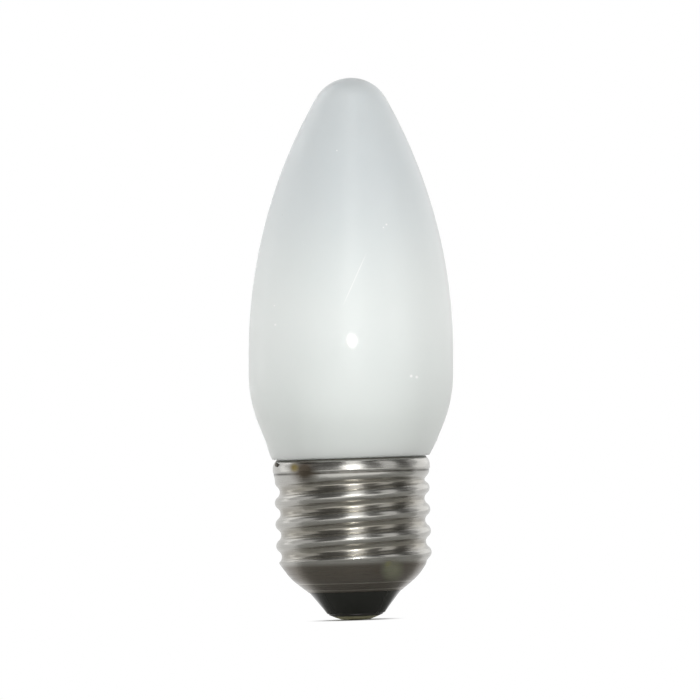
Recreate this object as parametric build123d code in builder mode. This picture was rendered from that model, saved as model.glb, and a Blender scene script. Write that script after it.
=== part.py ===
from build123d import *
from math import cos, pi, radians, sin, sqrt, tan
import os

# A frosted candle lamp with a 27 mm Edison screw cap, in millimetres.
# +Z runs up the axis of the screw cap, and the origin is the lowest point of the
# centre contact, where the lamp meets its holder. The glass leans a little towards +X.

# Glass envelope, measured along its own axis from the rim of the cap
envelope_length = 64.1
belly_radius = 17.27
belly_top_height = 17.7
belly_band_length = 3.5
flank_arc_radius = 87.0
shoulder_arc_radius = 22.5
shoulder_cone_angle = 21.8
glass_lean = 1.9
glass_foot_fillet = 0.25
foot_allowance = 1.0

# Glass neck and stem, inside the cap
neck_top_radius = 12.6
neck_radius = 10.6
neck_taper_length = 3.6
neck_length = 11.5
neck_lip_fillet = 0.9
stem_mouth_radius = 8.2
stem_top_radius = 3.6
stem_depth = 6.5
exhaust_radius = 1.6
exhaust_length = 4.6

# Screw shell, rolled from one thin cup
sheet_thickness = 0.28
rim_height = 27.3
collar_radius = 13.25
collar_length = 2.25
collar_step = 0.05
undercut_length = 2.7
undercut_depth = 0.15
thread_radius = 13.08
thread_depth = 0.9
thread_pitch = 25.4 / 7
thread_crest_height = 11.0
thread_fade_length = 1.7
nose_edge_height = 4.8
nose_edge_radius = 7.85
nose_cone_angle = 51.5
nose_cone_radius = 9.65
nose_arc_radius = 9.5
nose_top_angle = 28.0
nose_blend = 0.3

# Black glass insulator
insulator_edge_inset = 0.15
insulator_land_width = 0.27
insulator_tip_height = 1.1
insulator_tip_fillet = 0.25
insulator_top_height = 7.7
insulator_dish_top_radius = 9.0
insulator_dish_radius = 3.4
insulator_dish_height = 4.6

# Centre contact and its solder
contact_radius = 4.55
contact_edge_height = 0.92
contact_thickness = 0.45
contact_flat_radius = 2.5
contact_flat_height = 0.1
contact_bend_radius = 1.5
eyelet_radius = 1.5
eyelet_bore_radius = 0.7
eyelet_height = 5.2
contact_solder_radius = 1.3
contact_solder_edge = 0.04
contact_solder_height = 1.6

# Side solder, in a hole through the collar
side_hole_radius = 0.45
side_hole_drop = 0.75
side_hole_angle = 198.6
side_solder_radius = 0.65
side_solder_rise = 0.2
side_solder_length = 0.5

# Basing cement and lead wires
cement_top_drop = 0.5
cement_length = 6.0
cement_step_length = 1.05
cement_thread_space = 0.3
cement_slot_width = 1.0
lead_radius = 0.16
lead_offset = 2.6
lead_bend_radius = 1.2
centre_lead_reach = 2.2
centre_lead_slack = 0.3
side_lead_reach = 1.6
side_lead_neck_space = 0.55
side_lead_kink_drop = 0.9
side_lead_collar_space = 0.47
side_lead_end_drop = 0.25

# Clearances between pieces that seat on each other
glass_gap = 0.05
cement_gap = 0.05
insulator_gap = 0.05
contact_gap = 0.03
solder_gap = 0.02
lead_gap = 0.05

# How closely the screw shell's sections stand
sections_per_pitch = 12
sections_per_half_turn = 18

os.makedirs("parts", exist_ok=True)

collar_bottom = rim_height - collar_length
collar_bore_radius = collar_radius - sheet_thickness
side_hole_height = rim_height - side_hole_drop

# The rolled thread is two arcs of one radius, a crest and a root, that meet halfway
quarter_pitch = thread_pitch / 4
roll_radius = (quarter_pitch**2 + (thread_depth / 2) ** 2) / thread_depth

# The nose is a cone, an arc and a steeper cone, which the lowest turn runs out into
nose_low = radians(nose_cone_angle)
nose_high = radians(nose_top_angle)
nose_centre_radius = nose_cone_radius - nose_arc_radius * cos(nose_low)
nose_cone_top = nose_edge_height + (nose_cone_radius - nose_edge_radius) / tan(nose_low)
nose_centre_height = nose_cone_top + nose_arc_radius * sin(nose_low)


def ease(share):
    """Goes smoothly from 0 to 1 as share does."""
    share = min(max(share, 0), 1)
    return share * share * (3 - 2 * share)


def depth_below_crest(from_crest, inset):
    """How far a skin of the thread lies inside its crest line, at a distance from the crest."""
    crest_arc = roll_radius - inset
    root_arc = roll_radius + inset
    if from_crest <= quarter_pitch * crest_arc / roll_radius:
        return crest_arc - sqrt(crest_arc**2 - from_crest**2)
    from_root = 2 * quarter_pitch - from_crest
    return thread_depth - root_arc + sqrt(root_arc**2 - from_root**2)


def thread_skin(height, angle, inset):
    """The thread's radius, from the undercut below the collar down to the nose."""
    below_collar = (collar_bottom - height) / undercut_length
    crest = collar_radius - collar_step
    crest += (thread_radius - crest) * ease(below_collar)
    if 0 < below_collar < 1:
        crest -= undercut_depth * sin(pi * below_collar) ** 2
    fade_start = collar_bottom - (undercut_length - thread_fade_length) / 2
    fade = ease((fade_start - height) / thread_fade_length)
    turns = (height - thread_crest_height) / thread_pitch - angle / 360
    from_crest = abs(turns - round(turns)) * thread_pitch
    return crest - inset - fade * depth_below_crest(from_crest, inset)


def nose_skin(height, inset):
    """The nose's radius at a height."""
    arc = nose_arc_radius - inset
    drop = nose_centre_height - height
    if drop > arc * sin(nose_low):
        return nose_centre_radius + arc * cos(nose_low) - (drop - arc * sin(nose_low)) * tan(nose_low)
    if drop < arc * sin(nose_high):
        return nose_centre_radius + arc * cos(nose_high) + (arc * sin(nose_high) - drop) * tan(nose_high)
    return nose_centre_radius + sqrt(arc**2 - drop**2)


def shell_skin(height, angle, inset):
    """The screw shell's radius: the thread or the nose, whichever is smaller, blended."""
    thread = thread_skin(height, angle, inset)
    nose = nose_skin(height, inset)
    overlap = max(nose_blend - abs(thread - nose), 0) / nose_blend
    return min(thread, nose) - overlap**2 * nose_blend / 4


def meridian(angle, height=0):
    """The upright plane through the cap's axis at an angle, with x outwards and y up from a height."""
    turn = radians(angle)
    return Plane(origin=(0, 0, height), x_dir=(cos(turn), sin(turn), 0), z_dir=(sin(turn), -cos(turn), 0))


side_turn = radians(side_hole_angle)
side_way = (cos(side_turn), sin(side_turn), 0)
side_hole_centre = (0, 0, side_hole_height)

# Screw shell: half turns of wall, lofted through sections around the axis
shell_lap = collar_length / 8
shell_length = collar_bottom + shell_lap - nose_edge_height
station_count = round(shell_length / thread_pitch * sections_per_pitch)
shares = [k / station_count for k in range(station_count + 1)]
stations = [nose_edge_height + shell_length * share for share in shares]

with BuildPart() as screw_shell:
    for half_turn in (0, 180):
        for k in range(sections_per_half_turn + 1):
            angle = half_turn + 180 * k / sections_per_half_turn
            outer = [(shell_skin(height, angle, 0), height) for height in stations]
            inner = [(shell_skin(height, angle, sheet_thickness), height) for height in stations]
            with BuildSketch(meridian(angle)):
                with BuildLine():
                    add(Edge.make_spline(outer, parameters=shares))
                    add(Edge.make_spline(inner, parameters=shares))
                    Line(outer[0], inner[0])
                    Line(outer[-1], inner[-1])
                make_face()
        loft()
    with BuildSketch(Plane.XY.offset(collar_bottom)):
        Circle(collar_radius)
        Circle(collar_bore_radius, mode=Mode.SUBTRACT)
    extrude(amount=collar_length)
    with BuildSketch(Plane(origin=side_hole_centre, z_dir=side_way)):
        Circle(side_hole_radius)
    extrude(amount=2 * collar_radius, mode=Mode.SUBTRACT)
screw_shell.part.label = "screw_shell"
export_step(screw_shell.part, "parts/screw_shell.step")

# Glass: a tip arc, a long flank, the belly, a shoulder and a cone down to the cap, turned
# about the leaning axis, then the neck and stem inside the cap
lean = radians(glass_lean)
glass_plane = Plane(origin=(0, 0, rim_height), x_dir=(cos(lean), 0, -sin(lean)), z_dir=(0, -1, 0))
glass_axis = Axis((0, 0, rim_height), (sin(lean), 0, cos(lean)))
flank_inset = flank_arc_radius - belly_radius
flank_rise = envelope_length - belly_top_height
tip_arc_radius = (flank_arc_radius**2 - flank_inset**2 - flank_rise**2) / (2 * (flank_arc_radius - flank_rise))
tip_centre_height = envelope_length - tip_arc_radius
flank_slope_height = tip_centre_height - belly_top_height
centre_distance = flank_arc_radius - tip_arc_radius
tip_joint = (
    tip_arc_radius * flank_inset / centre_distance,
    tip_centre_height + tip_arc_radius * flank_slope_height / centre_distance,
)
flank_middle_height = (belly_top_height + tip_joint[1]) / 2
flank_middle = (
    sqrt(flank_arc_radius**2 - (flank_middle_height - belly_top_height) ** 2) - flank_inset,
    flank_middle_height,
)
belly_bottom_height = belly_top_height - belly_band_length
shoulder_centre_radius = belly_radius - shoulder_arc_radius
shoulder_angle = radians(shoulder_cone_angle)
shoulder_middle = (
    shoulder_centre_radius + shoulder_arc_radius * cos(shoulder_angle / 2),
    belly_bottom_height - shoulder_arc_radius * sin(shoulder_angle / 2),
)
shoulder_end = (
    shoulder_centre_radius + shoulder_arc_radius * cos(shoulder_angle),
    belly_bottom_height - shoulder_arc_radius * sin(shoulder_angle),
)
foot = (shoulder_end[0] - (shoulder_end[1] + foot_allowance) * tan(shoulder_angle), -foot_allowance)
neck_bottom = rim_height - neck_length
stem_top = neck_bottom + stem_depth

with BuildPart() as glass_bulb:
    with BuildSketch(glass_plane):
        with BuildLine():
            TangentArc((0, envelope_length), tip_joint, tangent=(1, 0))
            ThreePointArc(tip_joint, flank_middle, (belly_radius, belly_top_height))
            Line((belly_radius, belly_top_height), (belly_radius, belly_bottom_height))
            ThreePointArc((belly_radius, belly_bottom_height), shoulder_middle, shoulder_end)
            Polyline(shoulder_end, foot, (0, -foot_allowance), (0, envelope_length))
        make_face()
    revolve(axis=glass_axis)
    split(bisect_by=Plane.XY.offset(rim_height + glass_gap))
    fillet(glass_bulb.edges().group_by(Axis.Z)[0], glass_foot_fillet)
    with BuildSketch(Plane.XZ):
        with BuildLine():
            Polyline(
                (0, rim_height + foot_allowance),
                (neck_top_radius, rim_height + foot_allowance),
                (neck_top_radius, rim_height),
                (neck_radius, rim_height - neck_taper_length),
                (neck_radius, neck_bottom),
                (stem_mouth_radius, neck_bottom),
                (stem_top_radius, stem_top),
                (exhaust_radius, stem_top),
                (exhaust_radius, stem_top - exhaust_length),
                (0, stem_top - exhaust_length),
                close=True,
            )
        make_face()
    revolve(axis=Axis.Z)
    lip = glass_bulb.edges().filter_by(GeomType.CIRCLE).group_by(Axis.Z)[0].sort_by(SortBy.RADIUS)[-1]
    fillet(lip, neck_lip_fillet)
glass_bulb.part.label = "glass_bulb"
export_step(glass_bulb.part, "parts/glass_bulb.step")

# Insulator: fills the nose of the shell and carries on below its edge as a short cone
insulator_inset = sheet_thickness + insulator_gap
insulator_shoulder = nose_edge_height - insulator_gap
insulator_edge_radius = nose_edge_radius - insulator_edge_inset
insulator_tip_radius = contact_radius + contact_gap + insulator_land_width
skin_joint_height = nose_centre_height - (nose_arc_radius - insulator_inset) * sin(nose_low)
skin_middle_height = (skin_joint_height + insulator_top_height) / 2
contact_top = contact_edge_height + contact_thickness

with BuildPart() as insulator:
    with BuildSketch(Plane.XZ) as insulator_profile:
        with BuildLine():
            ThreePointArc(
                (nose_skin(skin_joint_height, insulator_inset), skin_joint_height),
                (nose_skin(skin_middle_height, insulator_inset), skin_middle_height),
                (nose_skin(insulator_top_height, insulator_inset), insulator_top_height),
            )
            Polyline(
                (nose_skin(insulator_top_height, insulator_inset), insulator_top_height),
                (insulator_dish_top_radius, insulator_top_height),
                (insulator_dish_radius, insulator_dish_height),
                (eyelet_radius + contact_gap, insulator_dish_height),
                (eyelet_radius + contact_gap, contact_top + contact_gap),
                (contact_radius + contact_gap, contact_top + contact_gap),
                (contact_radius + contact_gap, insulator_tip_height),
                (insulator_tip_radius, insulator_tip_height),
                (insulator_edge_radius, insulator_shoulder),
                (nose_skin(insulator_shoulder, insulator_inset), insulator_shoulder),
                (nose_skin(skin_joint_height, insulator_inset), skin_joint_height),
            )
        make_face()
        tip = insulator_profile.vertices().sort_by_distance((insulator_tip_radius, insulator_tip_height))[0]
        fillet(tip, insulator_tip_fillet)
    revolve(axis=Axis.Z)
insulator.part.label = "insulator"
export_step(insulator.part, "parts/insulator.step")

# Centre contact: a plate with a raised rim and an eyelet that stands up through the insulator
with BuildPart() as centre_contact:
    with BuildSketch(Plane.XZ) as contact_profile:
        with BuildLine():
            Polyline(
                (eyelet_bore_radius, contact_flat_height),
                (contact_flat_radius, contact_flat_height),
                (contact_radius, contact_edge_height),
                (contact_radius, contact_top),
                (eyelet_radius, contact_top),
                (eyelet_radius, eyelet_height),
                (eyelet_bore_radius, eyelet_height),
                close=True,
            )
        make_face()
        bend = contact_profile.vertices().sort_by_distance((contact_flat_radius, contact_flat_height))[0]
        fillet(bend, contact_bend_radius)
    revolve(axis=Axis.Z)
centre_contact.part.label = "centre_contact"
export_step(centre_contact.part, "parts/centre_contact.step")

# Contact solder: a flat bead under the eyelet with a plug up its bore
contact_solder_top = contact_flat_height - solder_gap
contact_plug_radius = eyelet_bore_radius - solder_gap

with BuildPart() as contact_solder:
    with BuildSketch(Plane.XZ):
        with BuildLine():
            TangentArc((0, 0), (contact_solder_radius, contact_solder_top - contact_solder_edge), tangent=(1, 0))
            Polyline(
                (contact_solder_radius, contact_solder_top - contact_solder_edge),
                (contact_solder_radius, contact_solder_top),
                (contact_plug_radius, contact_solder_top),
                (contact_plug_radius, contact_solder_height),
                (0, contact_solder_height),
                (0, 0),
            )
        make_face()
    revolve(axis=Axis.Z)
contact_solder.part.label = "contact_solder"
export_step(contact_solder.part, "parts/contact_solder.step")

# Side solder: a bead on the collar with a plug in the side hole
bead_base = collar_radius + solder_gap
side_plug_radius = side_hole_radius - solder_gap
side_plug_end = bead_base - side_solder_length

with BuildPart() as side_solder:
    with BuildSketch(meridian(side_hole_angle, side_hole_height)):
        with BuildLine():
            TangentArc((bead_base + side_solder_rise, 0), (bead_base, side_solder_radius), tangent=(0, 1))
            Polyline(
                (bead_base, side_solder_radius),
                (bead_base, side_plug_radius),
                (side_plug_end, side_plug_radius),
                (side_plug_end, 0),
                (bead_base + side_solder_rise, 0),
            )
        make_face()
    revolve(axis=Axis(side_hole_centre, side_way))
side_solder.part.label = "side_solder"
export_step(side_solder.part, "parts/side_solder.step")

# Basing cement: a ring between the neck and the shell, with a slot for the side lead
cement_top = rim_height - cement_top_drop
cement_bottom = cement_top - cement_length
taper_bottom = rim_height - neck_taper_length
neck_taper = (neck_top_radius - neck_radius) / neck_taper_length
cement_bore_radius = neck_radius + cement_gap
cement_outer_radius = thread_radius - thread_depth - sheet_thickness - cement_thread_space
cement_step_bottom = collar_bottom - cement_step_length

with BuildPart() as basing_cement:
    with BuildSketch(Plane.XZ):
        with BuildLine():
            Polyline(
                (cement_bore_radius, cement_bottom),
                (cement_outer_radius, cement_bottom),
                (cement_outer_radius, cement_step_bottom),
                (collar_bore_radius - cement_gap, collar_bottom),
                (collar_bore_radius - cement_gap, cement_top),
                (cement_bore_radius + neck_taper * (cement_top - taper_bottom), cement_top),
                (cement_bore_radius, taper_bottom),
                close=True,
            )
        make_face()
    revolve(axis=Axis.Z)
    with BuildSketch(Plane.XY.offset(cement_bottom)):
        with PolarLocations(collar_radius, 1, start_angle=side_hole_angle):
            Rectangle(collar_radius, cement_slot_width)
    extrude(amount=cement_length, mode=Mode.SUBTRACT)
basing_cement.part.label = "basing_cement"
export_step(basing_cement.part, "parts/basing_cement.step")

# Lead wires: both leave the stem, one for the eyelet and one for the side hole
lead_top = stem_top - lead_gap
side_lead_radius = neck_radius + side_lead_neck_space
side_lead_end_radius = collar_bore_radius - side_lead_collar_space

with BuildPart() as centre_lead:
    with BuildLine(Plane.XZ):
        FilletPolyline(
            (lead_offset, lead_top),
            (lead_offset, neck_bottom - centre_lead_reach),
            (0, insulator_top_height + centre_lead_slack),
            (0, contact_solder_height + lead_gap),
            radius=lead_bend_radius,
        )
    with BuildSketch(Plane.XY.offset(lead_top)):
        with Locations((lead_offset, 0)):
            Circle(lead_radius)
    sweep()
centre_lead.part.label = "centre_lead"
export_step(centre_lead.part, "parts/centre_lead.step")

with BuildPart() as side_lead:
    with BuildLine(meridian(side_hole_angle)):
        FilletPolyline(
            (lead_offset, lead_top),
            (lead_offset, neck_bottom - side_lead_reach),
            (side_lead_radius, neck_bottom - side_lead_reach),
            (side_lead_radius, taper_bottom - side_lead_kink_drop),
            (side_lead_end_radius, side_hole_height - side_lead_end_drop),
            radius=lead_bend_radius,
        )
    with BuildSketch(Plane.XY.offset(lead_top)):
        with PolarLocations(lead_offset, 1, start_angle=side_hole_angle):
            Circle(lead_radius)
    sweep()
side_lead.part.label = "side_lead"
export_step(side_lead.part, "parts/side_lead.step")
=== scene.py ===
# %% [markdown]
# A frosted candle bulb on a screw cap
#
# The lamp is a blown glass candle, frosted so that nothing inside shows, held by cement in a rolled
# screw shell of plated sheet. Below the shell come a cone of black glass, a small brass contact and a
# drop of solder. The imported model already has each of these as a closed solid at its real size, so this
# script only makes what the eye needs: smooth surfaces, finishes, light and a camera.

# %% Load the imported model
import bpy
import math
from mathutils import Matrix, Vector


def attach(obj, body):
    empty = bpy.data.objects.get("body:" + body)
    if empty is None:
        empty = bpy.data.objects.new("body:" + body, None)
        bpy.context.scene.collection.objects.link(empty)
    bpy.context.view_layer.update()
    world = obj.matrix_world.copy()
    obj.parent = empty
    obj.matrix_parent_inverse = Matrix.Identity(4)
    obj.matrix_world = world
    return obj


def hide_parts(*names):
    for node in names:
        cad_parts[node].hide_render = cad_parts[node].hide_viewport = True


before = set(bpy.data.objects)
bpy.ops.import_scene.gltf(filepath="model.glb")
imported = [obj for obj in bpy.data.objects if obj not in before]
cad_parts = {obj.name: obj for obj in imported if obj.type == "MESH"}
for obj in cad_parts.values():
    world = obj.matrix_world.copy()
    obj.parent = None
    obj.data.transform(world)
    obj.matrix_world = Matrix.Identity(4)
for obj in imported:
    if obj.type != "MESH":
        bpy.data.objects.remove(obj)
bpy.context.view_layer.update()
print("pieces in the model:", ", ".join(sorted(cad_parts)))

# %% [markdown]
# The view
#
# The photograph shows the lamp upright and level, with the glass standing straight up the picture and
# the cap leaning 1.9 degrees under it. The model keeps the cap upright and leans the glass, so the
# camera is rolled by that angle. It stands far off with a long lens, because the rim of the collar shows
# as a straight line, and at the rim's own height.

# %% Place the camera
mm = 0.001
glass_lean = math.radians(1.9)
rim_height = 27.3 * mm
picture_side = 700
pixel = 0.1686 * mm
origin_in_picture = (356.3, 619.6)
camera_distance = 1.2
nearest_seen = 0.01
farthest_seen = 20
sensor_width = 36.0

picture_right = Vector((math.cos(glass_lean), 0, -math.sin(glass_lean)))
picture_up = Vector((math.sin(glass_lean), 0, math.cos(glass_lean)))


def in_picture(x, y):
    """The place, in the upright plane through the cap's axis, that shows at a pixel of the picture."""
    return pixel * ((x - origin_in_picture[0]) * picture_right + (origin_in_picture[1] - y) * picture_up)


aim = in_picture(picture_side / 2, picture_side / 2)
eye = aim + (rim_height - aim.z) * picture_up - Vector((0, camera_distance, 0))
ahead = (aim - eye).normalized()
across = ahead.cross(picture_up).normalized()
turn = Matrix((across, across.cross(ahead), -ahead)).transposed()

camera = bpy.data.objects.new("camera", bpy.data.cameras.new("camera"))
camera.matrix_world = Matrix.Translation(eye) @ turn.to_4x4()
camera.data.sensor_width = sensor_width
camera.data.lens = sensor_width * (aim - eye).length / (picture_side * pixel)
camera.data.clip_start = nearest_seen
camera.data.clip_end = farthest_seen
bpy.context.scene.collection.objects.link(camera)
bpy.context.scene.camera = camera
print("lens", round(camera.data.lens), "mm")

# %% [markdown]
# Nodes and colours
#
# Every finish and every node tree below is built with one small function, which adds a node, sets it up
# and links it. Its inputs go by name, or in the node's own order. Each is a value, an output, or another
# node, which then gives its first output. Colours are written as the sRGB hex values that a painter would
# read off a screen, and one function turns them to the linear values that the renderer works in. Each finish
# starts as an empty tree with the place on the piece to hand, in metres, so that a pattern keeps its size.

# %% Make the helpers for nodes and colours
def add_node(tree, kind, inputs=(), **settings):
    """Adds a node. Settings are its own properties; inputs give each socket a value, an output or a node."""
    node = tree.nodes.new(kind)
    for name, value in settings.items():
        setattr(node, name, value)
    for socket, value in inputs.items() if isinstance(inputs, dict) else enumerate(inputs):
        if isinstance(value, bpy.types.Node):
            value = value.outputs[0]
        if isinstance(value, bpy.types.NodeSocket):
            tree.links.new(value, node.inputs[socket])
        else:
            node.inputs[socket].default_value = value
    return node


def linear(hex_colour):
    """Turns an sRGB hex colour to linear red, green, blue and alpha."""
    parts = [int(hex_colour[i : i + 2], 16) / 255 for i in (1, 3, 5)]
    return (*[c / 12.92 if c <= 0.04045 else ((c + 0.055) / 1.055) ** 2.4 for c in parts], 1.0)


def start_material(name):
    """Starts a node material and returns it with its tree and the place on the piece."""
    material = bpy.data.materials.new(name)
    material.use_nodes = True
    tree = material.node_tree
    tree.nodes.clear()
    return material, tree, add_node(tree, "ShaderNodeTexCoord").outputs["Object"]


print("a mid grey is", [round(c, 3) for c in linear("#808080")[:3]])

# %% [markdown]
# Floor and backdrop
#
# The photograph has a pure white ground. A sheet of pale grey paper does for the floor and sweeps up behind
# the lamp. It also shines white to the camera, and behind the lamp in reflections too, so it reads as white
# without any more light on the lamp. Only close round the foot of the lamp it doesn't, and there the paper
# keeps the lamp's shadow. What counts as behind is cut along a slanted line, because the pale edge of the
# photograph's cap is narrower on the right than on the left.

# %% Roll out the paper
paper_front = -2.5
paper_back = 1.6
paper_bend = 1.2
paper_top = 3.2
paper_half_width = 3.0
bend_steps = 12

paper_line = [(paper_front, 0.0), (0.0, 0.0)]
for step in range(bend_steps + 1):
    swing = math.radians(90 * step / bend_steps)
    bend_y = paper_back - paper_bend + paper_bend * math.sin(swing)
    paper_line.append((bend_y, paper_bend * (1 - math.cos(swing))))
paper_line.append((paper_back, paper_top))
paper_points = [(side, y, z) for y, z in paper_line for side in (-paper_half_width, paper_half_width)]
paper_faces = [(2 * i, 2 * i + 1, 2 * i + 3, 2 * i + 2) for i in range(len(paper_line) - 1)]
paper_mesh = bpy.data.meshes.new("paper")
paper_mesh.from_pydata(paper_points, [], paper_faces)
paper_mesh.polygons.foreach_set("use_smooth", [True] * len(paper_mesh.polygons))
paper = bpy.data.objects.new("paper", paper_mesh)
bpy.context.scene.collection.objects.link(paper)
print("paper from", paper_front, "to", paper_back, "m")

# %% Colour the paper
shadow_seen = (3.0, 9.0)
shadow_mirrored = (5.0, 14.0)
cut_way = (-0.22, 1.0, 0.0)
cut_width = 0.008

paper_white, tree, place = start_material("pale paper")
ray = add_node(tree, "ShaderNodeLightPath").outputs
depth = add_node(tree, "ShaderNodeVectorMath", (place, cut_way), operation="DOT_PRODUCT").outputs["Value"]
behind = add_node(tree, "ShaderNodeMapRange", (depth, 0.0, cut_width))
inputs = (ray["Is Glossy Ray"], ray["Is Transmission Ray"])
mirrored = add_node(tree, "ShaderNodeMath", inputs, operation="MAXIMUM")
mirrored = add_node(tree, "ShaderNodeMath", (mirrored, behind), operation="MULTIPLY")
away = add_node(tree, "ShaderNodeVectorMath", (place,), operation="LENGTH").outputs["Value"]
shares = []
for kind, (inside, outside) in ((ray["Is Camera Ray"], shadow_seen), (mirrored, shadow_mirrored)):
    inputs = (away, inside * mm, outside * mm)
    far = add_node(tree, "ShaderNodeMapRange", inputs, interpolation_type="SMOOTHSTEP")
    shares.append(add_node(tree, "ShaderNodeMath", (far, kind), operation="MULTIPLY"))
share = add_node(tree, "ShaderNodeMath", shares, operation="MAXIMUM")
matt = add_node(tree, "ShaderNodeBsdfDiffuse", {"Color": linear("#CDCDCA")})
shine = add_node(tree, "ShaderNodeEmission", {"Color": linear("#FFFFFF"), "Strength": 1.0})
both = add_node(tree, "ShaderNodeMixShader", (share, matt, shine))
add_node(tree, "ShaderNodeOutputMaterial", (both,))
paper_mesh.materials.append(paper_white)
print("shadow kept within", shadow_seen[1], "mm")

# %% [markdown]
# Light
#
# A white wall on each side and behind gives the cap its pale edges. The flash and a window behind the camera
# give the bright streak down its middle, and a grey card gives the half light to the right of it. Between
# them the room is dim, and that is what makes the metal look like metal. The two rim lights behind and the
# broad fill above light the frosted glass and are kept out of reflections, as a photographer's flags would
# keep them.

# %% Hang the lamps
lamp_middle = (0, 0, 45 * mm)
above_card = (0.03, -0.5, 1.0)
high_behind = (0, 0.65, 0.9)
above_foot = (0, 0.0, 0.12)
foot = (0, 0, 0)

# Name, place and target in metres, width, height, radiance, and whether reflections show it
lamps = (
    ("flash", (0.03, -1.2, 0.114), lamp_middle, 0.165, 0.045, 100.0, True),
    ("window front", (0.05, -1.2, 0.1), lamp_middle, 0.6, 0.85, 1.48, True),
    ("window glow", (0.08, -1.21, 0.1), lamp_middle, 0.8, 0.95, 0.4, True),
    ("window above", (0.05, -0.85, 0.95), lamp_middle, 0.42, 1.3, 1.6, True),
    ("card below", (0.03, -0.5, 0.004), above_card, 0.24, 0.9, 1.0, True),
    ("wall left", (-0.74, 0.05, 0.12), above_foot, 0.95, 0.85, 0.66, True),
    ("wall left high", (-0.74, 0.65, 0.9), high_behind, 0.9, 0.8, 0.6, True),
    ("wall right", (0.64, 0.45, 0.12), above_foot, 0.9, 0.85, 0.44, True),
    ("card right", (0.78, -0.5, 0.3), lamp_middle, 0.42, 1.1, 0.82, True),
    ("rim left", (-0.72, 0.65, 0.1), lamp_middle, 0.5, 0.9, 5.6, False),
    ("rim right", (0.66, 0.72, 0.1), lamp_middle, 0.5, 0.9, 5.0, False),
    ("fill above", (0.0, 0.15, 1.1), foot, 1.8, 1.8, 0.2, False),
)
for name, place, target, width, height, radiance, in_reflections in lamps:
    data = bpy.data.lights.new(name, "AREA")
    data.shape = "RECTANGLE"
    data.size = width
    data.size_y = height
    data.energy = radiance * math.pi * width * height
    light = bpy.data.objects.new(name, data)
    light.location = place
    light.rotation_euler = (Vector(target) - Vector(place)).to_track_quat("-Z", "Y").to_euler()
    light.visible_camera = False
    light.visible_glossy = in_reflections
    bpy.context.scene.collection.objects.link(light)
print("lights:", len(lamps))

# %% Dim the room
room_strength = 0.5

world = bpy.data.worlds.new("dim room")
bpy.context.scene.world = world
world.use_nodes = True
room = world.node_tree.nodes["Background"].inputs
room["Color"].default_value = linear("#8A8986")
room["Strength"].default_value = room_strength
bpy.context.scene.view_settings.view_transform = "Standard"
print("room at", room_strength)

# %% [markdown]
# Turned outlines
#
# All the round pieces are figures of revolution, so each is one outline turned about its axis. An outline is
# a list of points, radius and height in millimetres, from the bottom of the axis to the top of it. Drawing it
# with true arcs, as the mould was, keeps the highlights clean.

# %% Make the turning helpers
on_axis = 1e-6


def arc(centre, radius, start, stop, steps):
    """Points along an arc, with its angles in degrees, counted from straight out."""
    angles = [math.radians(start + (stop - start) * i / steps) for i in range(steps + 1)]
    return [(centre[0] + radius * math.cos(a), centre[1] + radius * math.sin(a)) for a in angles]


def turned_mesh(name, outline, columns, place=None):
    """Turns an outline about the z axis. An end on the axis closes to a point; place moves each ring."""
    place = place or (lambda x, y, z: (x, y, z))
    points = []
    rings = []
    for radius, height in outline:
        if radius < on_axis:
            rings.append([len(points)] * columns)
            points.append(place(0.0, 0.0, height))
            continue
        rings.append(list(range(len(points), len(points) + columns)))
        for i in range(columns):
            swing = 2 * math.pi * i / columns
            points.append(place(radius * math.cos(swing), radius * math.sin(swing), height))
    faces = []
    for low, high in zip(rings, rings[1:]):
        for i in range(columns):
            j = (i + 1) % columns
            corners = [low[i], low[j], high[j], high[i]]
            faces.append(tuple(dict.fromkeys(corners)))
    mesh = bpy.data.meshes.new(name)
    mesh.from_pydata([tuple(mm * c for c in p) for p in points], [], faces)
    mesh.validate()
    return mesh


quarter_circle = arc((0, 0), 1, 0, 90, steps=4)
print("a quarter circle in 4 steps:", [tuple(round(c, 2) for c in point) for point in quarter_circle])

# %% [markdown]
# Standing in for a solid
#
# A finished mesh is shaded smooth but for its sharp edges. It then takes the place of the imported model's
# solid of the same piece and moves with the model's one body. Its slot names the finish that the piece has.

# %% Make the finishing helper
def finish_piece(name, mesh, material, node, crease=40):
    """Makes an object of a mesh, smooth but for its sharp edges, that stands for a node of the model."""
    mesh.polygons.foreach_set("use_smooth", [True] * len(mesh.polygons))
    mesh.set_sharp_from_angle(angle=math.radians(crease))
    if not mesh.materials:
        mesh.materials.append(material)
    piece = bpy.data.objects.new(name, mesh)
    bpy.context.scene.collection.objects.link(piece)
    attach(piece, "root")
    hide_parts(node)
    print(name, len(mesh.polygons), "faces")


print("every piece rides the body root")

# %% [markdown]
# Frosted glass
#
# Soda-lime glass, blown and then frosted white on the inside. The outside is fire-polished, so the flash
# shows as one small sharp spot, a faint coat here, while everything that gets into the glass is scattered and
# comes out again as an even white. Subsurface scattering of a few millimetres does that without a hollow
# wall. Towards the tip and the neck the white is painted a little greyer, as painted shade for the dim room
# above and below. Faint specks, a few lighter spots and one light hairline break the surface. Each lighter
# spot that the photograph shows is a spot round its place in the picture, so it is found through the view,
# and only the front of the lamp gets it.

# %% Make the spot helper
spot_core = 0.3


def spot(tree, place, x, y, radius):
    """A round mask at a pixel of the picture: 1 in its core, and 0 from its radius in millimetres on."""
    inputs = {"Vector": place, "Location": -in_picture(x, y), "Scale": (1, 0, 1)}
    flat = add_node(tree, "ShaderNodeMapping", inputs)
    away = add_node(tree, "ShaderNodeVectorMath", (flat,), operation="LENGTH").outputs["Value"]
    return add_node(tree, "ShaderNodeMapRange", (away, radius * mm, spot_core * radius * mm))


print("each spot has a core of", spot_core, "of its radius")

# %% Mix the white and its specks
clouds_per_mm = 0.045
tip_shade_start = 50.0
tip_shade_full = 77.0
neck_shade_start = 52.0
neck_shade_full = 26.0
speck_spacing = 9.0
speck_radius = 0.22
speck_strength = 0.35

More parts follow.
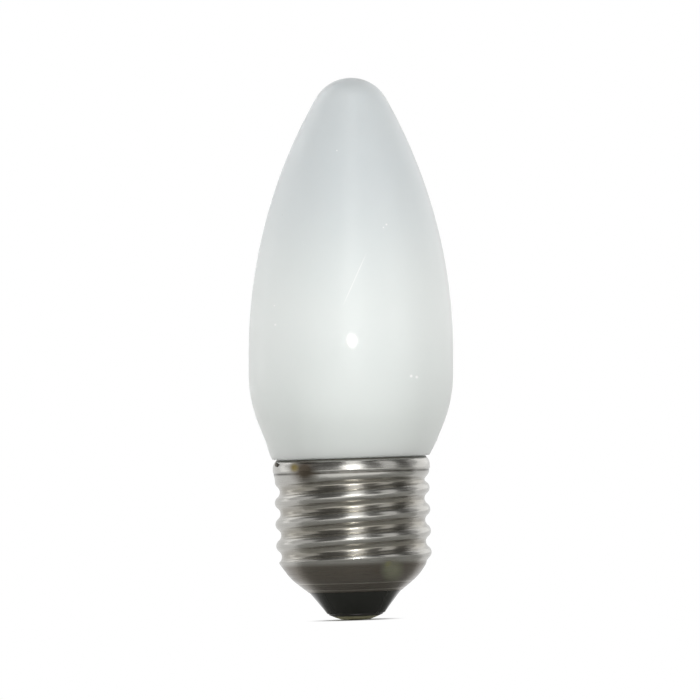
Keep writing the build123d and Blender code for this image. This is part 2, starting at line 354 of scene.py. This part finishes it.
frosted_glass, tree, place = start_material("frosted soda-lime glass")
axes = add_node(tree, "ShaderNodeSeparateXYZ", (place,)).outputs
inputs = {"Vector": place, "Scale": clouds_per_mm / mm, "Detail": 3.0}
cloud = add_node(tree, "ShaderNodeTexNoise", inputs)
white = add_node(tree, "ShaderNodeMixRGB", (cloud, linear("#E9EEED"), linear("#EFF2F1")))
# Painted shade: the white turns greyer towards the tip and the neck, for the dim room above and below.
for shade_from, shade_to, tint in ((tip_shade_start, tip_shade_full, "#DEE3E5"), (neck_shade_start, neck_shade_full, "#DCE0DE")):
    inputs = (axes["Z"], shade_from * mm, shade_to * mm)
    painted_shade = add_node(tree, "ShaderNodeMapRange", inputs, interpolation_type="SMOOTHSTEP")
    white = add_node(tree, "ShaderNodeMixRGB", (painted_shade, white, linear(tint)))
inputs = {"Vector": place, "Scale": 1 / (speck_spacing * mm)}
specks = add_node(tree, "ShaderNodeTexVoronoi", inputs, feature="F1").outputs["Distance"]
speck_edge = speck_radius / speck_spacing
inputs = (specks, speck_edge, spot_core * speck_edge, 0.0, speck_strength)
speck = add_node(tree, "ShaderNodeMapRange", inputs)
speckled = add_node(tree, "ShaderNodeMixRGB", (speck, white, linear("#B9BDB8")))
print("a speck in each", speck_spacing, "mm or so")

# %% Draw the hairline
hairline_top = in_picture(367, 254)
hairline_bottom = in_picture(341.7, 311)
hairline_half_width = 0.11
hairline_strength = 0.8
hairline_full = 0.5

hairline_way = (hairline_top - hairline_bottom).normalized()
across_way = hairline_way.cross(Vector((0, 1, 0)))
middle = (hairline_top - hairline_bottom).length / 2
from_bottom = add_node(tree, "ShaderNodeVectorMath", (place, hairline_bottom), operation="SUBTRACT")
along = add_node(tree, "ShaderNodeVectorMath", (from_bottom, hairline_way), operation="DOT_PRODUCT")
beside = add_node(tree, "ShaderNodeVectorMath", (from_bottom, across_way), operation="DOT_PRODUCT")
beside = add_node(tree, "ShaderNodeMath", (beside.outputs["Value"],), operation="ABSOLUTE")
line = add_node(tree, "ShaderNodeMapRange", (beside, hairline_half_width * mm, 0.0, 0.0, hairline_strength))
from_middle = add_node(tree, "ShaderNodeMath", (along.outputs["Value"], middle), operation="SUBTRACT")
from_middle = add_node(tree, "ShaderNodeMath", (from_middle,), operation="ABSOLUTE")
within = add_node(tree, "ShaderNodeMapRange", (from_middle, middle, hairline_full * middle))
light = add_node(tree, "ShaderNodeMath", (line, within), operation="MULTIPLY")
print("hairline of", round(2 * middle / mm, 1), "mm")

# %% Add the lighter spots and finish the glass
# Pixels across and down in the picture, and the radius in millimetres
glass_light_spots = (
    (275, 307, 0.16),
    (276, 326, 0.25),
    (386, 227, 0.2),
    (383, 230, 0.16),
    (337, 153, 0.16),
    (410.5, 377, 0.32),
    (416, 378, 0.3),
)
scatter_depth = 6.0

for x, y, radius in glass_light_spots:
    light = add_node(tree, "ShaderNodeMath", (light, spot(tree, place, x, y, radius)), operation="MAXIMUM")
on_front = add_node(tree, "ShaderNodeMath", (axes["Y"], 0.0), operation="LESS_THAN")
light = add_node(tree, "ShaderNodeMath", (light, on_front), operation="MULTIPLY")
glass = add_node(
    tree,
    "ShaderNodeBsdfPrincipled",
    {
        "Base Color": add_node(tree, "ShaderNodeMixRGB", (light, speckled, linear("#FFFFFF"))),
        "Subsurface Weight": add_node(tree, "ShaderNodeMath", (1.0, light), operation="SUBTRACT"),
        "Subsurface Radius": (1.0, 1.0, 1.0),
        "Subsurface Scale": scatter_depth * mm,
        "Roughness": 0.5,
        "IOR": 1.5,
        "Specular IOR Level": 0.25,
        "Coat Weight": 0.3,
        "Coat Roughness": 0.05,
        "Coat IOR": 1.5,
    },
)
add_node(tree, "ShaderNodeOutputMaterial", (glass,))
print("mixed", frosted_glass.name)

# %% [markdown]
# The envelope
#
# The outline comes straight from the mould: a small arc at the tip, one long flank, a short straight belly,
# a shoulder and a cone into the cap. The neck and the hollow stem come below it, hidden by the cap. Heights
# are counted from the rim here, along the glass. The glass was set a little crooked, so each ring of it is
# tipped about the rim, and the rings below the rim stay true to the cap.

# %% Work out the outline
envelope_length = 64.09
belly_radius = 17.25
belly_top = 17.7
belly_band = 3.5
flank_arc = 87.0
shoulder_arc = 22.5
shoulder_cone = 21.8
foot_gap = 0.05

flank_inset = flank_arc - belly_radius
flank_rise = envelope_length - belly_top
tip_arc = (flank_arc**2 - flank_inset**2 - flank_rise**2) / (2 * (flank_arc - flank_rise))
tip_centre = envelope_length - tip_arc
tip_turn = math.degrees(math.atan2(tip_centre - belly_top, flank_inset))
shoulder_centre = (belly_radius - shoulder_arc, belly_top - belly_band)
shoulder_end = arc(shoulder_centre, shoulder_arc, 0, -shoulder_cone, steps=1)[-1]
cone_height = shoulder_end[1] - foot_gap
foot_radius = shoulder_end[0] - cone_height * math.tan(math.radians(shoulder_cone))
print("tip arc", round(tip_arc, 2), "mm")

# %% Turn the envelope
tube_radius = 1.6
tube_bottom = -9.6
hollow_radius = 3.6
hollow_top = -5.0
flare_radius = 8.2
neck_radius = 10.6
neck_bottom = -11.5
neck_top = -3.6
neck_round = 0.9
seat_radius = 12.6
foot_round = 0.2
cone_steps = 8
tipping_height = 3

envelope = [(0, tube_bottom), (tube_radius, tube_bottom), (tube_radius, hollow_top)]
envelope += [(hollow_radius, hollow_top), (flare_radius, neck_bottom)]
envelope += [(neck_radius - neck_round, neck_bottom)]
envelope += arc((neck_radius - neck_round, neck_bottom + neck_round), neck_round, -90, 0, steps=5)[1:]
envelope += [(neck_radius, neck_top), (seat_radius, 0.0), (seat_radius, foot_gap)]
envelope += [(foot_radius - foot_round, foot_gap)]
envelope += arc((foot_radius - foot_round, foot_gap + foot_round), foot_round, -90, -20, steps=4)[1:]
for i in range(1, cone_steps):
    share = i / cone_steps
    envelope.append((foot_radius + (shoulder_end[0] - foot_radius) * share, foot_gap + cone_height * share))
envelope += arc(shoulder_centre, shoulder_arc, -shoulder_cone, 0, steps=12)
envelope += [(belly_radius, belly_top - belly_band / 2)]
envelope += arc((-flank_inset, belly_top), flank_arc, 0, tip_turn, steps=48)
envelope += arc((0, tip_centre), tip_arc, tip_turn, 90, steps=20)[1:-1]
envelope += [(0, envelope_length)]


def ease(share):
    """Goes smoothly from 0 to 1."""
    share = min(max(share, 0), 1)
    return share * share * (3 - 2 * share)


def tip_over(x, y, height):
    """Tips a ring of the glass about the rim, fully from the tipping height up and not at all below it."""
    swing = glass_lean * ease(height / tipping_height)
    along = x * math.cos(swing) + height * math.sin(swing)
    up = height * math.cos(swing) - x * math.sin(swing)
    return (along, y, rim_height / mm + up)


envelope_mesh = turned_mesh("glass_candle", envelope, columns=160, place=tip_over)
finish_piece("glass_candle", envelope_mesh, frosted_glass, "glass_bulb")

# %% [markdown]
# Nickel-plated sheet
#
# The shell is brass sheet, rolled and nickel-plated. Plating gives a warm grey mirror, softened by fine
# scratches that run round the cap, because the shell was spun and screwed in and out. Grime and a brownish
# tarnish sit in the grooves, where nothing rubs. The nose is painted darker, as painted shade for the dim
# floor that it mirrors, and a dark ring under the collar's step and the collar's top edge under the glass are
# painted shade too. The scratches are really a few hundredths of a millimetre apart and are drawn at a tenth,
# so that they show.

# %% Mix the bare plating
tarnish_per_mm = 0.24
scratches_round_per_mm = 0.06
scratches_up_per_mm = 9.0

plated_shell, tree, place = start_material("nickel-plated brass sheet")
axes = add_node(tree, "ShaderNodeSeparateXYZ", (place,)).outputs
stretch = (scratches_round_per_mm / mm, scratches_round_per_mm / mm, scratches_up_per_mm / mm)
stretched = add_node(tree, "ShaderNodeMapping", {"Vector": place, "Scale": stretch})
inputs = {"Vector": stretched, "Scale": 1.0, "Detail": 2.0, "Roughness": 0.6}
scratch = add_node(tree, "ShaderNodeTexNoise", inputs)
inputs = {"Vector": place, "Scale": tarnish_per_mm / mm, "Detail": 5.0, "Roughness": 0.6}
tarnish = add_node(tree, "ShaderNodeTexNoise", inputs)
dip = add_node(tree, "ShaderNodeAttribute", attribute_name="dip").outputs["Fac"]
grime = add_node(tree, "ShaderNodeMath", (dip, tarnish), operation="MULTIPLY")
bare = add_node(tree, "ShaderNodeMixRGB", (tarnish, linear("#A6A49F"), linear("#B9B8B4")))
plated = add_node(tree, "ShaderNodeMixRGB", (grime, bare, linear("#7D7666")))
print("scratches", round(1 / scratches_up_per_mm, 2), "mm apart")

# %% Add the painted shade on the nose, the rings and the colour patches
nose_shade_heights = (9.9, 9.2)
nose_shade_strength = 0.9
scribed_heights = (5.15, 6.3)
scribed_width = 0.1
scribed_strength = 0.8
fold_shade_height = 24.88
fold_shade_width = 0.3
fold_shade_strength = 1.9
collar_rim_shade_heights = (26.85, 27.05)
collar_rim_shade_strength = 0.9
# Pixels across and down in the picture, the radius in millimetres and the colour
colour_patches = (
    (305.0, 470.5, 2.8, "#5A5248"),
    (294.8, 467.5, 0.9, "#85784F"),
    (388.5, 564.0, 0.8, "#A9A765"),
    (392.0, 569.0, 2.3, "#9F9F8C"),
)

# Painted shade: the nose is painted darker below its last crest, for the dim floor that it mirrors.
inputs = (axes["Z"], nose_shade_heights[0] * mm, nose_shade_heights[1] * mm, 0.0, nose_shade_strength)
nose_shade = add_node(tree, "ShaderNodeMapRange", inputs)
plated = add_node(tree, "ShaderNodeMixRGB", (nose_shade, plated, linear("#706A62")))
rings = [(height, scribed_width, scribed_strength, "#E2DED6") for height in scribed_heights]
# Painted shadow: a dark ring just under the collar's step.
rings.append((fold_shade_height, fold_shade_width, fold_shade_strength, "#39352F"))
for height, half_width, strength, tint in rings:
    off_ring = add_node(tree, "ShaderNodeMath", (axes["Z"], height * mm), operation="SUBTRACT")
    off_ring = add_node(tree, "ShaderNodeMath", (off_ring,), operation="ABSOLUTE")
    band = add_node(tree, "ShaderNodeMapRange", (off_ring, half_width * mm, 0.0, 0.0, strength))
    band = add_node(tree, "ShaderNodeMath", (band, tarnish), operation="MULTIPLY")
    plated = add_node(tree, "ShaderNodeMixRGB", (band, plated, linear(tint)))
on_front = add_node(tree, "ShaderNodeMath", (axes["Y"], 0.0), operation="LESS_THAN")
# Each patch darkens or lightens the plating at its listed place on the front.
for x, y, radius, tint in colour_patches:
    inputs = (spot(tree, place, x, y, radius), on_front)
    patch = add_node(tree, "ShaderNodeMath", inputs, operation="MULTIPLY")
    plated = add_node(tree, "ShaderNodeMixRGB", (patch, plated, linear(tint)))
# Painted shade: the collar's top edge is painted darker, under the glass.
inputs = (axes["Z"], collar_rim_shade_heights[0] * mm, collar_rim_shade_heights[1] * mm, 0.0, collar_rim_shade_strength)
collar_rim_shade = add_node(tree, "ShaderNodeMapRange", inputs)
plated = add_node(tree, "ShaderNodeMixRGB", (collar_rim_shade, plated, linear("#6F6B64")))
print(len(rings), "rings and", len(colour_patches), "colour_patches")

# %% Roughen the plating
pits_per_mm = 2.2
pit_depth = 0.018
scratch_depth = 0.01
scratch_levels = (0.3, 0.7)
smoothest = 0.18
roughest = 0.3

pits = add_node(tree, "ShaderNodeTexNoise", {"Vector": place, "Scale": pits_per_mm / mm, "Detail": 2.0})
pitted = add_node(tree, "ShaderNodeBump", {"Height": pits, "Strength": 0.5, "Distance": pit_depth * mm})
scratched = {"Height": scratch, "Strength": 0.25, "Distance": scratch_depth * mm, "Normal": pitted}
metal = add_node(
    tree,
    "ShaderNodeBsdfPrincipled",
    {
        "Base Color": plated,
        "Metallic": 1.0,
        "Roughness": add_node(tree, "ShaderNodeMapRange", (scratch, *scratch_levels, smoothest, roughest)),
        "Normal": add_node(tree, "ShaderNodeBump", scratched),
    },
)
add_node(tree, "ShaderNodeOutputMaterial", (metal,))
print("mixed", plated_shell.name)

# %% [markdown]
# The screw shell
#
# A smooth cup is turned first, with the collar, the undercut, the barrel at the height of the thread's
# crests and the nose. The thread is then rolled into it, and since a thread is a rule rather than a shape,
# Geometry Nodes do the rolling: each point goes in by a depth that depends only on how far it is, along the
# axis, from the nearest crest. The crest and the root are arcs of one radius, as the standard draws
# them. The thread stops where the nose would be cut, and a wall is added inside last.

# %% Shape the collar and the barrel
collar_radius = 13.25
collar_bottom = 25.05
collar_crown = 0.19
collar_crown_height = 25.5
collar_edge_length = 0.22
collar_edge_depth = 0.12
undercut_length = 2.7
undercut_depth = 0.15
thread_radius = 13.08

collar_length = rim_height / mm - collar_bottom


def crowned_collar(height):
    """The collar's radius without its rounded lower edge. It swells most a little above that edge."""
    off_crown = abs(height - collar_crown_height) / (collar_length / 2)
    return collar_radius - collar_crown * off_crown**3


def blank_radius(height):
    """The radius of the cup before the thread is rolled."""
    if height >= collar_bottom:
        from_edge = (collar_bottom + collar_edge_length - height) / collar_edge_length
        return crowned_collar(height) - collar_edge_depth * ease(from_edge)
    below = (collar_bottom - height) / undercut_length
    radius = crowned_collar(collar_bottom) - collar_edge_depth
    radius += (thread_radius - radius) * ease(below)
    if below < 1:
        radius -= undercut_depth * math.sin(math.pi * below) ** 2
    return radius


print("undercut to", round(blank_radius(collar_bottom - undercut_length / 2), 2), "mm")

# %% Shape the nose
nose_edge = (7.85, 4.8)
nose_cone = math.radians(51.5)
nose_steep = math.radians(35.0)
nose_arc = 9.5
nose_arc_start = 9.65
scribed_depth = 0.05
scribed_spread = 0.09


def nose_radius(height):
    """The radius of the nose: a cone, an arc and a steeper cone, with two fine scribed rings."""
    centre = nose_arc_start - nose_arc * math.cos(nose_cone)
    cone_top = nose_edge[1] + (nose_arc_start - nose_edge[0]) / math.tan(nose_cone)
    drop = cone_top + nose_arc * math.sin(nose_cone) - height
    if drop > nose_arc * math.sin(nose_cone):
        radius = nose_edge[0] + (height - nose_edge[1]) * math.tan(nose_cone)
    elif drop < nose_arc * math.sin(nose_steep):
        radius = centre + nose_arc * math.cos(nose_steep)
        radius += (nose_arc * math.sin(nose_steep) - drop) * math.tan(nose_steep)
    else:
        radius = centre + math.sqrt(nose_arc**2 - drop**2)
    for ring in scribed_heights:
        radius -= scribed_depth * math.exp(-(((height - ring) / scribed_spread) ** 2))
    return radius


print("nose radius at its edge:", round(nose_radius(nose_edge[1]), 2), "mm")

# %% Turn the blank
row_step = 0.14
collar_rows = 24
lip_round = 0.04
shell_columns = 176

rim = rim_height / mm
row_count = round((collar_bottom - nose_edge[1]) / row_step)
heights = [nose_edge[1] + (collar_bottom - nose_edge[1]) * i / row_count for i in range(row_count)]
heights += [collar_bottom + collar_length * i / collar_rows for i in range(collar_rows)]
heights += [rim - lip_round]
blank_rings = [(blank_radius(h), h) for h in heights]
blank_rings.append((blank_radius(rim) - lip_round, rim))
shell_mesh = turned_mesh("shell_blank", blank_rings, shell_columns)
limits = shell_mesh.attributes.new("nose limit", "FLOAT", "POINT")
limits.data.foreach_set("value", [nose_radius(h) * mm for _, h in blank_rings for _ in range(shell_columns)])
shell_mesh.polygons.foreach_set("use_smooth", [True] * len(shell_mesh.polygons))
shell_blank = bpy.data.objects.new("shell_blank", shell_mesh)
bpy.context.scene.collection.objects.link(shell_blank)
print("blank of", len(blank_rings), "rings")

# %% [markdown]
# The rolling tree
#
# The tree's inputs are the thread's own sizes, so that the thread can be changed on the modifier as a die is
# changed on a rolling machine. A point's turn round the axis moves its nearest crest up by a part of the
# pitch, which makes the rings a helix, and a right-hand one, as every lamp cap has.

# %% Build the rolling tree
thread_pitch = 25.4 / 7
thread_depth = 0.9
crest_height = 11.0
fade_length = 1.7
nose_blend = 0.55

roller = bpy.data.node_groups.new("roll the thread", "GeometryNodeTree")
roller.is_modifier = True
sockets = {}
for name, kind, value in (
    ("Geometry", "NodeSocketGeometry", None),
    ("Pitch", "NodeSocketFloat", thread_pitch * mm),
    ("Depth", "NodeSocketFloat", thread_depth * mm),
    ("Crest height", "NodeSocketFloat", crest_height * mm),
    ("Fade top", "NodeSocketFloat", (collar_bottom - (undercut_length - fade_length) / 2) * mm),
    ("Fade length", "NodeSocketFloat", fade_length * mm),
    ("Nose blend", "NodeSocketFloat", nose_blend * mm),
    ("Finish", "NodeSocketMaterial", plated_shell),
):
    sockets[name] = (roller.interface.new_socket(name, in_out="INPUT", socket_type=kind).identifier, value)
roller.interface.new_socket("Geometry", in_out="OUTPUT", socket_type="NodeSocketGeometry")

given = add_node(roller, "NodeGroupInput").outputs
position = add_node(roller, "GeometryNodeInputPosition")
axes = add_node(roller, "ShaderNodeSeparateXYZ", (position,)).outputs
level = add_node(roller, "ShaderNodeCombineXYZ", (axes[0], axes[1]))
radius = add_node(roller, "ShaderNodeVectorMath", (level,), operation="LENGTH").outputs["Value"]
angle = add_node(roller, "ShaderNodeMath", (axes[1], axes[0]), operation="ARCTAN2")
part_turn = add_node(roller, "ShaderNodeMath", (angle, 2 * math.pi), operation="DIVIDE")
climb = add_node(roller, "ShaderNodeMath", (axes[2], given["Crest height"]), operation="SUBTRACT")
turns = add_node(roller, "ShaderNodeMath", (climb, given["Pitch"]), operation="DIVIDE")
phase = add_node(roller, "ShaderNodeMath", (turns, part_turn), operation="SUBTRACT")
swing = add_node(roller, "ShaderNodeMath", (phase, 0.5), operation="PINGPONG")
from_crest = add_node(roller, "ShaderNodeMath", (swing, given["Pitch"]), operation="MULTIPLY")
half = add_node(roller, "ShaderNodeMath", (given["Pitch"], 2.0), operation="DIVIDE")
from_root = add_node(roller, "ShaderNodeMath", (half, from_crest), operation="SUBTRACT")
print("nodes so far:", len(roller.nodes))

# %% [markdown]
# The two arcs
#
# An arc of radius R that starts level has dropped by R less the root of R squared less the distance squared.
# The crest drops that way from the top and the root rises that way from the bottom, and they meet a quarter
# of a pitch from either, which fixes R from the pitch and the depth alone.

# %% Add the arcs to the tree
quarter = add_node(roller, "ShaderNodeMath", (given["Pitch"], 4.0), operation="DIVIDE")
quarter_square = add_node(roller, "ShaderNodeMath", (quarter, 2.0), operation="POWER")
half_depth = add_node(roller, "ShaderNodeMath", (given["Depth"], 2.0), operation="DIVIDE")
half_square = add_node(roller, "ShaderNodeMath", (half_depth, 2.0), operation="POWER")
squares = add_node(roller, "ShaderNodeMath", (quarter_square, half_square), operation="ADD")
arc_radius = add_node(roller, "ShaderNodeMath", (squares, given["Depth"]), operation="DIVIDE")
arc_square = add_node(roller, "ShaderNodeMath", (arc_radius, 2.0), operation="POWER")
falls = []
for distance in (from_crest, from_root):
    square = add_node(roller, "ShaderNodeMath", (distance, 2.0), operation="POWER")
    rest = add_node(roller, "ShaderNodeMath", (arc_square, square), operation="SUBTRACT")
    chord = add_node(roller, "ShaderNodeMath", (rest,), operation="SQRT")
    falls.append(add_node(roller, "ShaderNodeMath", (arc_radius, chord), operation="SUBTRACT"))
risen = add_node(roller, "ShaderNodeMath", (given["Depth"], falls[1]), operation="SUBTRACT")
near_crest = add_node(
    roller, "FunctionNodeCompare", (from_crest, quarter), data_type="FLOAT", operation="LESS_EQUAL"
)
inputs = {"Switch": near_crest, "False": risen, "True": falls[0]}
rolled = add_node(roller, "GeometryNodeSwitch", inputs, input_type="FLOAT")
print("nodes so far:", len(roller.nodes))

# %% [markdown]
# Moving the points
#
# The depth fades out below the collar, where the roller is lifted from the sheet. What is left of each
# point's radius is blended with the nose's own, whichever is smaller, and the point moves straight in to it.
# How deep it has gone is stored under the name dip, so that the finish can lay its grime in the grooves.

# %% Move the points and finish the tree
below_top = add_node(roller, "ShaderNodeMath", (given["Fade top"], axes[2]), operation="SUBTRACT")
fade = add_node(roller, "ShaderNodeMath", (below_top, given["Fade length"]), operation="DIVIDE")
fade = add_node(roller, "ShaderNodeMapRange", (fade,), interpolation_type="SMOOTHSTEP")
depth = add_node(roller, "ShaderNodeMath", (rolled, fade), operation="MULTIPLY")
threaded = add_node(roller, "ShaderNodeMath", (radius, depth), operation="SUBTRACT")
limit = add_node(roller, "GeometryNodeInputNamedAttribute", {"Name": "nose limit"}, data_type="FLOAT")
inputs = (threaded, limit.outputs["Attribute"], given["Nose blend"])
formed = add_node(roller, "ShaderNodeMath", inputs, operation="SMOOTH_MIN")
share = add_node(roller, "ShaderNodeMath", (formed, radius), operation="DIVIDE")
inward = add_node(roller, "ShaderNodeCombineXYZ", (share, share, 1.0))
moved = add_node(roller, "ShaderNodeVectorMath", (position, inward), operation="MULTIPLY")
dip_share = add_node(roller, "ShaderNodeMath", (depth, given["Depth"]), operation="DIVIDE")
inputs = {"Geometry": given["Geometry"], "Name": "dip", "Value": dip_share}
stored = add_node(roller, "GeometryNodeStoreNamedAttribute", inputs, data_type="FLOAT", domain="POINT")
placed = add_node(roller, "GeometryNodeSetPosition", {"Geometry": stored, "Position": moved})
whole = add_node(roller, "GeometryNodeRealizeInstances", (placed,))
dressed = add_node(roller, "GeometryNodeSetMaterial", {"Geometry": whole, "Material": given["Finish"]})
add_node(roller, "NodeGroupOutput", (dressed,))
print("the tree has", len(roller.nodes), "nodes")

# %% Roll the thread and give the shell its wall
sheet_thickness = 0.28

rolling = shell_blank.modifiers.new("roll", "NODES")
rolling.node_group = roller
for identifier, value in sockets.values():
    if value is not None:
        rolling[identifier] = value
wall = shell_blank.modifiers.new("wall", "SOLIDIFY")
wall.thickness = sheet_thickness * mm
wall.offset = -1
wall.use_even_offset = True
graph = bpy.context.evaluated_depsgraph_get()
rolled_mesh = bpy.data.meshes.new_from_object(shell_blank.evaluated_get(graph))
bpy.data.objects.remove(shell_blank)
finish_piece("rolled_shell", rolled_mesh, plated_shell, "screw_shell", crease=50)

# %% [markdown]
# Black glass
#
# The insulator is vitrite, a black lead glass poured hot into the nose of the shell. It cools with a fire
# polish, so it is almost a mirror, and with slight ripples.

# %% Mix the black glass
ripples_per_mm = 0.32
ripple_depth = 0.08

black_glass, tree, place = start_material("black vitrite glass")
ripple = add_node(tree, "ShaderNodeTexNoise", {"Vector": place, "Scale": ripples_per_mm / mm, "Detail": 2.0})
rippled = {"Height": ripple, "Strength": 0.3, "Distance": ripple_depth * mm}
vitrite = add_node(
    tree,
    "ShaderNodeBsdfPrincipled",
    {
        "Base Color": add_node(tree, "ShaderNodeMixRGB", (ripple, linear("#222320"), linear("#2A2B27"))),
        "Roughness": 0.16,
        "IOR": 1.5,
        "Specular IOR Level": 0.3,
        "Normal": add_node(tree, "ShaderNodeBump", rippled),
    },
)
add_node(tree, "ShaderNodeOutputMaterial", (vitrite,))
print("mixed", black_glass.name)

# %% Turn the insulator
bore_radius = 1.53
bore_top = 4.6
contact_seat = (4.58, 1.4)
land_bottom = 1.1
land_round = 0.25
land_round_centre = (4.7, 1.35)
land_flat = 4.65
cone_points = [(5.5, 2.0), (6.4, 3.15), (7.15, 4.1), (7.7, 4.75)]
shoulder_radius = 7.3
nose_inset = 0.45
nose_heights = (5.5, 6.5, 7.7)
top_radius = 9.0
funnel_radius = 3.4

insulator_outline = [(bore_radius, bore_top), (bore_radius, contact_seat[1]), contact_seat]
insulator_outline += [(contact_seat[0], land_bottom), (land_flat, land_bottom)]
insulator_outline += arc(land_round_centre, land_round, -80, -38, steps=5)
insulator_outline += cone_points + [(shoulder_radius, cone_points[-1][1])]
insulator_outline += [(nose_radius(h) - nose_inset, h) for h in nose_heights]
insulator_outline += [(top_radius, nose_heights[-1]), (funnel_radius, bore_top), (bore_radius, bore_top)]
insulator_mesh = turned_mesh("insulator_cone", insulator_outline, columns=128)
finish_piece("insulator_cone", insulator_mesh, black_glass, "insulator", crease=35)

# %% [markdown]
# Brass and solder
#
# The contact is a bare brass plate with a raised rim, long since tarnished to a dull olive. Its rim is
# painted dark and dull, a painted shade that hides the rim's reflection. The solder in its middle and the
# bead on the collar are soft solder that froze with a dimpled, grey skin.

# %% Mix the brass
stains_per_mm = 0.5
contact_rim_shade_radii = (3.6, 4.1)
bare_shine = 0.25
smooth_brass = 0.3
rough_brass = 0.5

contact_brass, tree, place = start_material("tarnished brass")
stain = add_node(tree, "ShaderNodeTexNoise", {"Vector": place, "Scale": stains_per_mm / mm, "Detail": 6.0})
level = add_node(tree, "ShaderNodeVectorMath", (place, (1, 1, 0)), operation="MULTIPLY")
reach = add_node(tree, "ShaderNodeVectorMath", (level,), operation="LENGTH").outputs["Value"]
# Painted shade: the contact's rim is painted dark and dull, which hides its reflection.
contact_rim_shade = add_node(tree, "ShaderNodeMapRange", (reach, contact_rim_shade_radii[0] * mm, contact_rim_shade_radii[1] * mm))
olive = add_node(tree, "ShaderNodeMixRGB", (stain, linear("#A9A682"), linear("#DAD6B6")))
brass = add_node(
    tree,
    "ShaderNodeBsdfPrincipled",
    {
        "Base Color": add_node(tree, "ShaderNodeMixRGB", (contact_rim_shade, olive, linear("#1C1B18"))),
        "Metallic": add_node(tree, "ShaderNodeMapRange", (contact_rim_shade, 0.0, 1.0, bare_shine, 0.0)),
        "Roughness": add_node(tree, "ShaderNodeMapRange", (stain, 0.0, 1.0, smooth_brass, rough_brass)),
    },
)
add_node(tree, "ShaderNodeOutputMaterial", (brass,))
print("mixed", contact_brass.name)

# %% Turn the contact
eyelet_bore = 0.7
eyelet_radius = 1.5
eyelet_top = 5.2
solder_radius = 1.3
plate_bottom = 0.1
plate_top = 1.35
plate_flat = 2.2
plate_bend = 1.5
rim_start = (3.4, 0.44)
rim_corner = (4.46, 0.885)
plate_edge = (4.55, 0.95)

contact_outline = [(eyelet_bore, eyelet_top), (eyelet_bore, plate_bottom), (solder_radius, plate_bottom)]
contact_outline += arc((plate_flat, plate_bottom + plate_bend), plate_bend, -90, -67, steps=6)
contact_outline += [rim_start, rim_corner, plate_edge, (plate_edge[0], plate_top)]
contact_outline += [(eyelet_radius, plate_top), (eyelet_radius, eyelet_top), (eyelet_bore, eyelet_top)]
contact_mesh = turned_mesh("contact_disc", contact_outline, columns=96)
finish_piece("contact_disc", contact_mesh, contact_brass, "centre_contact", crease=50)

# %% Mix the solder and turn the drop in the contact
lumps_per_mm = 1.4
lump_depth = 0.05
drop_surface = [(0, 0.0), (0.4, 0.004), (0.8, 0.016), (1.1, 0.03), (1.24, 0.04)]
drop_edge = [(solder_radius, 0.056), (solder_radius, 0.08)]
plug_radius = 0.68
plug_top = 1.6

soft_solder, tree, place = start_material("soft solder")
lumps = add_node(tree, "ShaderNodeTexNoise", {"Vector": place, "Scale": lumps_per_mm / mm, "Detail": 3.0})
dimpled = {"Height": lumps, "Strength": 0.6, "Distance": lump_depth * mm}
solder = add_node(
    tree,
    "ShaderNodeBsdfPrincipled",
    {
        "Base Color": add_node(tree, "ShaderNodeMixRGB", (lumps, linear("#45413B"), linear("#77726A"))),
        "Metallic": 1.0,
        "Roughness": 0.42,
        "Normal": add_node(tree, "ShaderNodeBump", dimpled),
    },
)
add_node(tree, "ShaderNodeOutputMaterial", (solder,))
plug = [(plug_radius, drop_edge[-1][1]), (plug_radius, plug_top), (0, plug_top)]
solder_mesh = turned_mesh("solder_drop", drop_surface + drop_edge + plug, columns=64)
finish_piece("solder_drop", solder_mesh, soft_solder, "contact_solder", crease=60)

# %% Turn the bead on the collar
bead_angle = math.radians(198.6)
bead_height = 26.55
bead_squash = 0.6
bead_root = [(0, 12.77), (0.43, 12.77), (0.43, 13.27)]
bead_surface = [(0.65, 13.27), (0.6, 13.34), (0.45, 13.41), (0.25, 13.455), (0, 13.47)]

out_way = Vector((math.cos(bead_angle), math.sin(bead_angle), 0))
side_way = Vector((-math.sin(bead_angle), math.cos(bead_angle), 0))


def to_collar(x, y, height):
    """Lays a piece that was turned upright onto the collar, squashed a little, at the side solder's place."""
    return tuple(out_way * height + side_way * x + Vector((0, 0, bead_height + bead_squash * y)))


bead_mesh = turned_mesh("solder_bead", bead_root + bead_surface, columns=40, place=to_collar)
finish_piece("solder_bead", bead_mesh, soft_solder, "side_solder", crease=60)

# %% [markdown]
# What the cap hides
#
# The cement ring and the two lead wires can't be seen, but they are pieces of the lamp and show when it is
# taken apart, so they keep their shapes from the model and get their real finishes: a chalky baked cement
# and copper-plated wire.

# %% Mix the cement and the wire
grains_per_mm = 1.8
grain_depth = 0.05
draw_marks_per_mm = 0.9

basing_cement, tree, place = start_material("baked basing cement")
grain = add_node(tree, "ShaderNodeTexNoise", {"Vector": place, "Scale": grains_per_mm / mm, "Detail": 6.0})
chalk = add_node(tree, "ShaderNodeMixRGB", (grain, linear("#A39A86"), linear("#D3CCBA")))
grainy = add_node(tree, "ShaderNodeBump", {"Height": grain, "Strength": 0.5, "Distance": grain_depth * mm})
inputs = {"Base Color": chalk, "Roughness": 0.9, "Normal": grainy}
cement = add_node(tree, "ShaderNodeBsdfPrincipled", inputs)
add_node(tree, "ShaderNodeOutputMaterial", (cement,))

copper_wire, tree, place = start_material("copper-plated lead wire")
inputs = {"Vector": place, "Scale": draw_marks_per_mm / mm, "Detail": 4.0}
drawn = add_node(tree, "ShaderNodeTexNoise", inputs)
copper = add_node(tree, "ShaderNodeMixRGB", (drawn, linear("#B0714F"), linear("#D19A78")))
wire = add_node(tree, "ShaderNodeBsdfPrincipled", {"Base Color": copper, "Metallic": 1.0, "Roughness": 0.3})
add_node(tree, "ShaderNodeOutputMaterial", (wire,))

hidden = {"basing_cement": basing_cement, "centre_lead": copper_wire, "side_lead": copper_wire}
for node, material in hidden.items():
    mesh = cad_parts[node].data
    mesh.materials.clear()
    mesh.materials.append(material)
    print(node, "is now", material.name)

# %% Update the scene and finish
bpy.context.view_layer.update()
